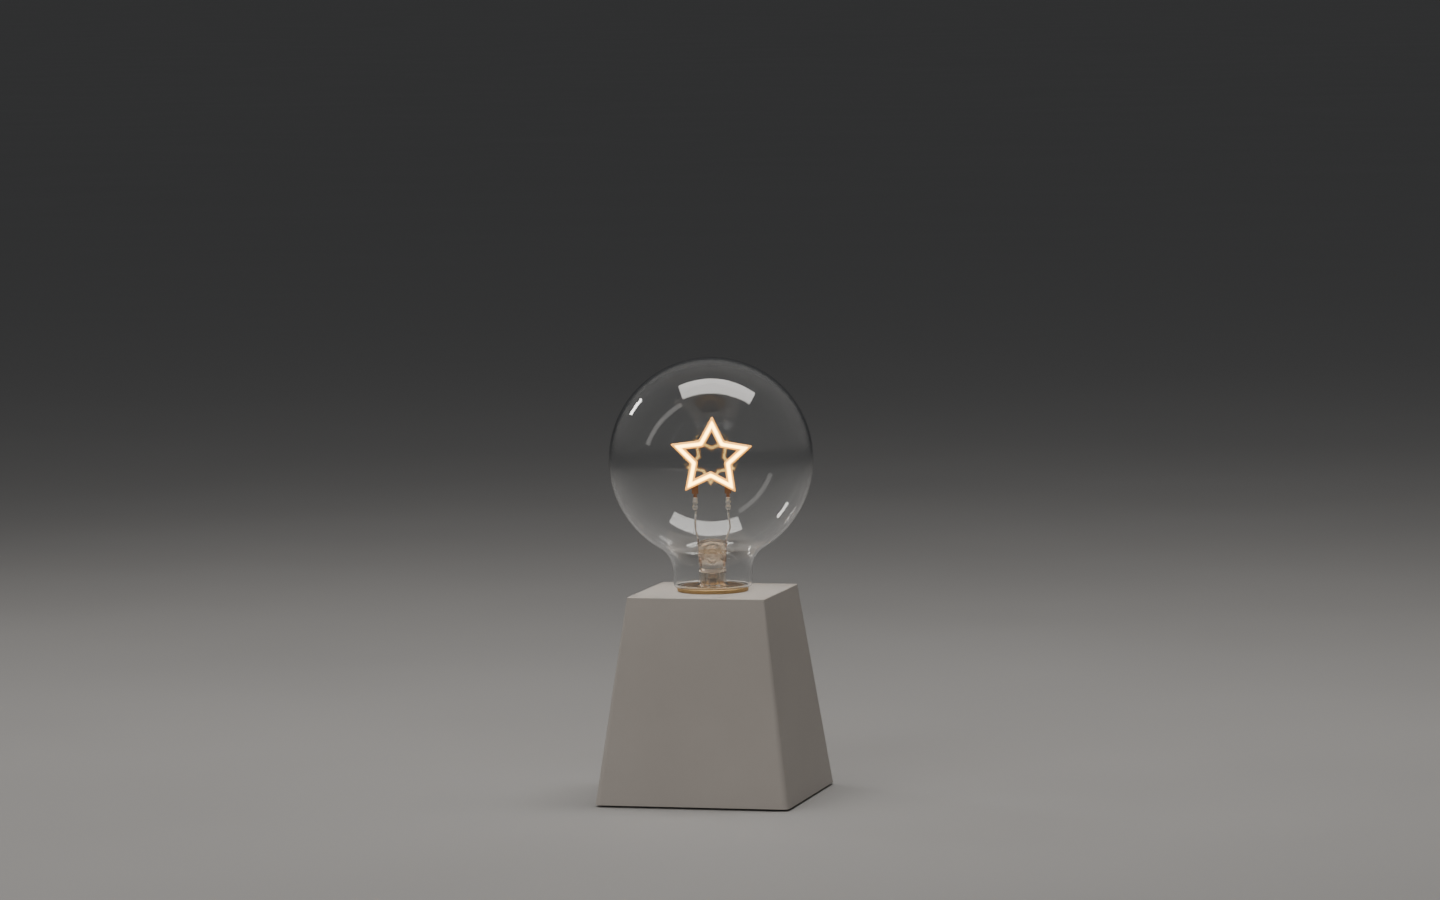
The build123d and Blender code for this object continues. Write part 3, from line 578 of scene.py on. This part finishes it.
def make_stem():
    """Pinch, tube and flat flare: the outside down from the pinch, then the hollow's inside up."""
    outer_r = STEM_R + GLASS_T / 2
    inner_r = STEM_R - GLASS_T / 2
    bend = (STEM_R + FLARE_R, GLASS_BOTTOM_Z + GLASS_T / 2 + FLARE_R)
    rings = []
    for i in range(12):
        angle = pi / 2 * i / 12
        half_x = 0.2 + (PINCH_HALF_X - 0.2) * sin(angle) ** 0.5
        half_y = 0.1 + (PINCH_HALF_Y - 0.1) * sin(angle)
        z = PINCH_TOP_Z - PINCH_LIP * (1 - cos(angle))
        rings.append(stem_ring(half_x, half_y, 2.6 + 0.6 * sin(angle), z, 1.0))
    steps = 72
    start_z = PINCH_TOP_Z - PINCH_LIP
    for i in range(steps + 1):
        z = start_z - (start_z - STEM_TOP_Z) * i / steps
        waist = smoothstep(min(1.0, (start_z - z) / (start_z - PINCH_Z)))
        swell = smoothstep(max(0.0, (PINCH_Z + 1.5 - z) / (PINCH_Z + 1.5 - STEM_TOP_Z)))
        half_x = PINCH_HALF_X + (PINCH_WAIST_X - PINCH_HALF_X) * waist + (outer_r - PINCH_WAIST_X) * swell
        half_y = PINCH_HALF_Y + (outer_r - PINCH_HALF_Y) * swell
        ring = stem_ring(half_x, half_y, 3.2 - 1.2 * swell, z, 0.8 * (1 - waist))
        rings.append(pressed(ring) if 0 < i < steps - 4 else ring)
    outside = run((outer_r, STEM_TOP_Z), (outer_r, bend[1]), 6)[1:]
    outside += arc(bend, FLARE_R - GLASS_T / 2, 180, 270, 12)[1:]
    outside += run(outside[-1], (SEAL_R, GLASS_BOTTOM_Z + GLASS_T), 6)[1:]
    inside = run((SEAL_R, GLASS_BOTTOM_Z), (bend[0], GLASS_BOTTOM_Z), 6)
    inside += arc(bend, FLARE_R + GLASS_T / 2, 270, 180, 12)[1:]
    inside += run((inner_r, bend[1]), (inner_r, STEM_HOLLOW_Z), 6)[1:]
    for r, z in outside + inside:
        rings.append(stem_ring(r, r, 2, z))
    for i in range(1, 30):
        share = i / 30
        radius = inner_r * sqrt(1 - share**2)
        ring = []
        for x, y in squircle(radius, radius, 2, STEM_POINTS):
            lobes = sum(hump(hypot(x - at, y), 1.3) for at in (-LEAD_X, 0, LEAD_X))
            ring.append((x, y, STEM_HOLLOW_Z + 1.2 * share + 2.0 * lobes * share))
        rings.append(ring)
    stem = face_star(skin("stem_glass_blown", rings))
    stand_for(stem, "bulb", "stem_glass", mat=stem_glass_material)


def make_exhaust():
    """The exhaust tube, with the beads where it was drawn off and sealed to the stem."""
    low, high = 88.0, STEM_TOP_Z - 2.2
    outer, bore = 2.0, 1.3
    upper_bead, lower_bead, bead_width = 105.6, 101.8, 0.9
    profile = []
    for r, z in run((outer, high), (outer, low), 60):
        beads = 0.6 * hump(z - upper_bead, bead_width) + 0.55 * hump(z - lower_bead, bead_width)
        profile.append((r + beads, z))
    profile += arc(((outer + bore) / 2, low), (outer - bore) / 2, 0, -180, 6)[1:-1]
    profile += run((bore, low), (bore, high), 30)
    tube = lathe("exhaust_tube_drawn", profile, 48, closed=True)
    stand_for(tube, "bulb", "exhaust_tube", mat=stem_glass_material)


# ---------------------------------------------------------------- filament
def star_outline(tip_round, side_steps):
    """The star's outer outline with rounded tips and notches, as (x, z) about its centre."""
    points = []
    for i in range(10):
        radius = STAR_TIP_R if i % 2 == 0 else STAR_NOTCH_R
        angle = radians(90 + 36 * i)
        points.append(Vector((radius * cos(angle), radius * sin(angle))))
    outline = []
    for i, corner in enumerate(points):
        before, after = points[i - 1], points[(i + 1) % 10]
        one = corner + (before - corner).normalized() * tip_round
        two = corner + (after - corner).normalized() * tip_round
        for k in range(7):
            t = k / 6
            outline.append(one * (1 - t) ** 2 + corner * 2 * t * (1 - t) + two * t**2)
        stop = after + (corner - after).normalized() * tip_round
        for k in range(1, side_steps):
            outline.append(two.lerp(stop, k / side_steps))
    return outline


def star_apothem():
    """Distance from the star's centre to the line of any of its ten sides."""
    tip = Vector((0, STAR_TIP_R))
    notch = Vector((STAR_NOTCH_R * cos(radians(54)), STAR_NOTCH_R * sin(radians(54))))
    side = (notch - tip).normalized()
    return abs(tip.x * side.y - tip.y * side.x)


def make_star():
    """The phosphor strip: a rounded section carried round the star."""
    outline = star_outline(0.9, 14)
    apothem = star_apothem()
    half_strip = STAR_STRIP / 2 + STAR_RIM
    section = squircle(half_strip, STAR_DEPTH / 2, 2.6, 32)
    tilt = Matrix.Rotation(radians(STAR_TILT), 3, "Y")
    rings, uvs = [], []
    for across, depth in section:
        scale = (apothem - STAR_STRIP / 2 + across) / apothem
        ring = []
        for k, point in enumerate(outline):
            spot = tilt @ Vector((STAR_STRETCH * point.x * scale, depth, point.y * scale))
            ring.append((spot.x, spot.y + STAR_Y, spot.z + STAR_Z))
            uvs.append((k / len(outline), abs(across) / half_strip))
        rings.append(ring)
    star = face_star(skin("star_phosphor", rings, closed=True, uvs=uvs))
    stand_for(star, "bulb", "star_filament")


def make_leads():
    """The two lead wires, from the cap up through the pinch and out to the crimps."""
    curve = bpy.data.curves.new("lead_wires_drawn", "CURVE")
    curve.dimensions = "3D"
    curve.bevel_depth = LEAD_R * MM
    curve.bevel_resolution = 4
    curve.resolution_u = 10
    curve.use_fill_caps = True
    from_resistor = [(LEAD_X, 0, 85)]
    from_cap = [(11.5, 0, 87), (6.5, 0, 87.2)]
    for side, belly_x, start in ((-1, 7.7, from_resistor), (1, 8.4, from_cap)):
        rest = [(LEAD_X, 0, 93), (LEAD_X, 0, STEM_TOP_Z), (6.2, 0, PINCH_Z), (6.6, -0.3, 120.5),
                (belly_x, -3.2, 125.5), (TAB_X, STAR_Y, 132), (TAB_X, STAR_Y, CRIMP_LOW_Z + 3)]
        points = start + rest
        spline = curve.splines.new("BEZIER")
        spline.bezier_points.add(len(points) - 1)
        for knot, (x, y, z) in zip(spline.bezier_points, points):
            knot.co = (side * x * MM, y * MM, z * MM)
            knot.handle_left_type = knot.handle_right_type = "AUTO"
    shown = add_object("lead_wires_curve", curve)
    mesh = bpy.data.meshes.new_from_object(shown)
    bpy.data.objects.remove(shown)
    mesh.polygons.foreach_set("use_smooth", [True] * len(mesh.polygons))
    leads = add_object("lead_wires_drawn", mesh)
    stand_for(face_star(leads), "bulb", "lead_wires", mat=sealed_wire())


def make_crimps():
    """Folded metal ferrules: flattened in two places, with a rolled mouth at each end."""
    steps = 28
    for name, side in (("left", -1), ("right", 1)):
        rings = []
        for i in range(steps + 1):
            share = i / steps
            z = CRIMP_LOW_Z + (CRIMP_HIGH_Z - CRIMP_LOW_Z) * share
            squeeze = hump(share - 0.22, 0.08) + hump(share - 0.62, 0.08)
            waist = hump(share - 0.44, 0.07)
            mouth = 1 - 0.35 * max(0, 1 - min(share, 1 - share) / 0.05)
            half_x = (CRIMP_HALF_X + 0.25 * squeeze - 0.35 * waist) * mouth
            half_y = (CRIMP_HALF_Y - 0.3 * squeeze - 0.1 * waist) * mouth
            section = squircle(half_x, half_y, 2.8, 32)
            rings.append([(side * TAB_X + x, STAR_Y + y, z) for x, y in section])
        crimp = face_star(skin(f"crimp_{name}", rings))
        if side < 0:
            stand_for(crimp, "bulb", "lead_crimps")
        else:
            dress(crimp, library[slot_of["lead_crimps"]])
            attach(crimp, "bulb")


# ---------------------------------------------------------------- cap and socket
def thread_wave(angle, z):
    """1 at the crest and 0 at the root of a right-handed rounded thread."""
    phase = z / THREAD_PITCH - angle / (2 * pi)
    return 0.5 + 0.5 * cos(2 * pi * (phase - floor(phase)))


def fade(z, low, high, length):
    """0 outside low..high, rising to 1 within length of each end."""
    return smoothstep(max(0.0, min(1.0, (z - low) / length, (high - z) / length)))


def threaded(profile, radius_at):
    """Rings for a threaded shell: radius_at(angle, r, z) gives each point's radius."""
    rings = []
    for r, z in profile:
        ring = []
        for i in range(THREAD_POINTS):
            angle = 2 * pi * i / THREAD_POINTS
            radius = radius_at(angle, r, z)
            ring.append((radius * cos(angle), radius * sin(angle), z))
        rings.append(ring)
    return rings


def make_cap():
    """The screw cap: thin sheet with a rolled thread, a shoulder above and a rolled-in end below."""
    sheet = 0.3
    shoulder_r = 0.9
    rolled = run((9.3, 72.0), (9.7, 72.0), 1)
    rolled += run((10.2, 72.3), (THREAD_ROOT_R, THREAD_LOW_Z - 0.6), 5)
    wall = run((THREAD_ROOT_R, THREAD_LOW_Z), (THREAD_ROOT_R, THREAD_HIGH_Z), 96)
    shoulder = arc((THREAD_ROOT_R + shoulder_r, THREAD_HIGH_Z + 0.4), shoulder_r, 180, 100, 6)
    shoulder += [(CAP_TOP_R, CAP_TOP_Z - 2.2), (CAP_TOP_R, CAP_TOP_Z)]
    outside = rolled + wall + shoulder
    inside = [(r - sheet, z + (sheet if z < THREAD_LOW_Z else 0)) for r, z in outside][::-1]
    inside[0] = (CAP_TOP_R - sheet, CAP_TOP_Z)

    def radius_at(angle, r, z):
        if not THREAD_LOW_Z <= z <= THREAD_HIGH_Z:
            return r
        return r + THREAD_DEPTH * thread_wave(angle, z) * fade(z, THREAD_LOW_Z, THREAD_HIGH_Z, 1.8)

    cap = skin("cap_shell_threaded", threaded(outside + inside, radius_at), closed=True)
    stand_for(cap, "bulb", "cap_shell")


def make_socket():
    """The holder's threaded sleeve, plain at its lower end."""
    gap = 0.2
    sheet = 0.35
    low, high = 70.0, 92.0
    thread_low = 73.6
    inside = run((THREAD_ROOT_R + gap, low), (THREAD_ROOT_R + gap, high), 120)
    outside = [(r + sheet, z) for r, z in inside][::-1]

    def radius_at(angle, r, z):
        share = fade(z, thread_low, high, 1.6)
        return r + THREAD_DEPTH * (1 - share) + THREAD_DEPTH * thread_wave(angle, z) * share

    sleeve = skin("socket_sleeve_threaded", threaded(inside + outside, radius_at), closed=True)
    stand_for(sleeve, "base", "lampholder_sleeve")


def make_collar():
    """The brass collar: a turned disc with a rounded rim."""
    outer, inner = 16.5, 5.5
    low, high = CAP_TOP_Z, GLASS_BOTTOM_Z
    edge = 0.4
    top = [(inner, high)] + run((inner + 0.6, high), (outer - edge, high), 30)
    rim = arc((outer - edge, high - edge), edge, 90, 0, 5)[1:]
    rim += arc((outer - edge, low + edge), edge, 0, -90, 5)
    under = run((outer - edge, low), (inner, low), 4)[1:]
    stand_for(lathe("collar_turned", top + rim + under, 160, closed=True), "bulb", "cap_collar")


stem_glass_material = pinched_glass()
make_globe()
make_stem()
make_exhaust()
make_star()
make_leads()
make_crimps()
make_cap()
make_socket()
make_collar()


# ---------------------------------------------------------------- studio
def make_floor():
    """A wide plain pale floor."""
    half = 60.0
    verts = [(-half, -half, 0), (half, -half, 0), (half, half, 0), (-half, half, 0)]
    ground = add_mesh("studio_floor", verts, [(0, 1, 2, 3)], smooth=False)
    pale = surface("floor_pale", (0.37, 0.365, 0.36), 0.7, mottle=0.015, mottle_scale=3, grain=0.02)
    dress(ground, pale)


def set_at(obj, spot, across, up, back):
    """Put a camera or lamp at a spot, looking away from back."""
    obj.matrix_world = Matrix.Translation(spot) @ Matrix((across, up, back)).transposed().to_4x4()


def area_light(name, centre, target, size, radiance, along, in_reflections=True):
    """A rectangular lamp facing target, its second side along a direction.

    Its radiance is free of its size.
    """
    data = bpy.data.lights.new(name, "AREA")
    data.shape = "RECTANGLE"
    data.size, data.size_y = size
    data.energy = radiance * pi * size[0] * size[1]
    data.color = (1.0, 0.965, 0.925)
    lamp = add_object(name, data)
    back = (centre - target).normalized()
    across = along.cross(back).normalized()
    set_at(lamp, centre, across, back.cross(across), back)
    lamp.visible_glossy = in_reflections
    lamp.visible_transmission = in_reflections


CAMERA_YAW = 14.39
CAMERA_PITCH = 5.03
CAMERA_ROLL = -0.78
CAMERA_DISTANCE = 2.782
CAMERA_RIGHT = 0.0042
CAMERA_AIM_Z = 0.1615


def camera_axes():
    """The camera's right, up and back, and its right before the roll."""
    yaw, pitch, roll = (radians(a) for a in (CAMERA_YAW, CAMERA_PITCH, CAMERA_ROLL))
    back = Vector((sin(yaw) * cos(pitch), -cos(yaw) * cos(pitch), sin(pitch)))
    level = Vector((cos(yaw), sin(yaw), 0))
    up = back.cross(level)
    right = cos(roll) * level + sin(roll) * up
    return right, -sin(roll) * level + cos(roll) * up, back, level


def make_camera():
    right, up, back, level = camera_axes()
    data = bpy.data.cameras.new("camera")
    data.lens = 150
    data.sensor_width = 36
    data.clip_start, data.clip_end = 0.05, 200
    camera = add_object("camera", data)
    spot = Vector((0, 0, CAMERA_AIM_Z)) + back * CAMERA_DISTANCE + level * CAMERA_RIGHT
    set_at(camera, spot, right, up, back)
    bpy.context.scene.camera = camera


def make_lights():
    """An overhead softbox, a strip and a small lamp at the left, and a fill that glass doesn't mirror."""
    right, up, back, level = camera_axes()
    ahead = Vector((-level.y, level.x, 0))
    globe = Vector((0, 0, GLOBE_Z * MM))

    def seen(x, y, z):
        """A direction given to the camera's right, up, and towards it."""
        return right * x + up * y + back * z

    over = globe + Vector((0, 0, 1.0)) + ahead * 0.10 + level * 0.13
    area_light("softbox_overhead", over, over - Vector((0, 0, 1)), size=(1.15, 0.42), radiance=6.4,
               along=ahead)
    low_end, high_end = globe + seen(-1.14, 0.26, 0.26), globe + seen(-0.55, 1.02, 0.34)
    strip = high_end - low_end
    area_light("strip_left", (low_end + high_end) / 2, globe, size=(0.12, strip.length), radiance=1.2,
               along=strip)
    small = globe + seen(-0.664, 0.464, -0.586) * 1.2
    area_light("lamp_small", small, globe, size=(0.12, 0.2), radiance=14.0, along=seen(0.53, 0.85, 0))
    fill = globe - level * 0.9 - ahead * 1.5 + Vector((0, 0, 0.5))
    area_light("fill_front", fill, Vector((0, 0, 0.08)), size=(0.9, 0.9), radiance=4.0, along=up,
               in_reflections=False)


def make_world():
    """A dim room, brighter overhead than at the horizon."""
    world = bpy.data.worlds.new("studio")
    bpy.context.scene.world = world
    world.use_nodes = True
    tree = world.node_tree
    background = tree.nodes["Background"]
    background.inputs["Color"].default_value = (0.95, 0.97, 1.0, 1)
    coords = add(tree, "ShaderNodeTexCoord")
    height = parts(tree, coords.outputs["Generated"])["Z"]
    tree.links.new(span(tree, height, 0.035, 0.11, 0.0, 0.9), background.inputs["Strength"])


make_floor()
make_camera()
make_lights()
make_world()
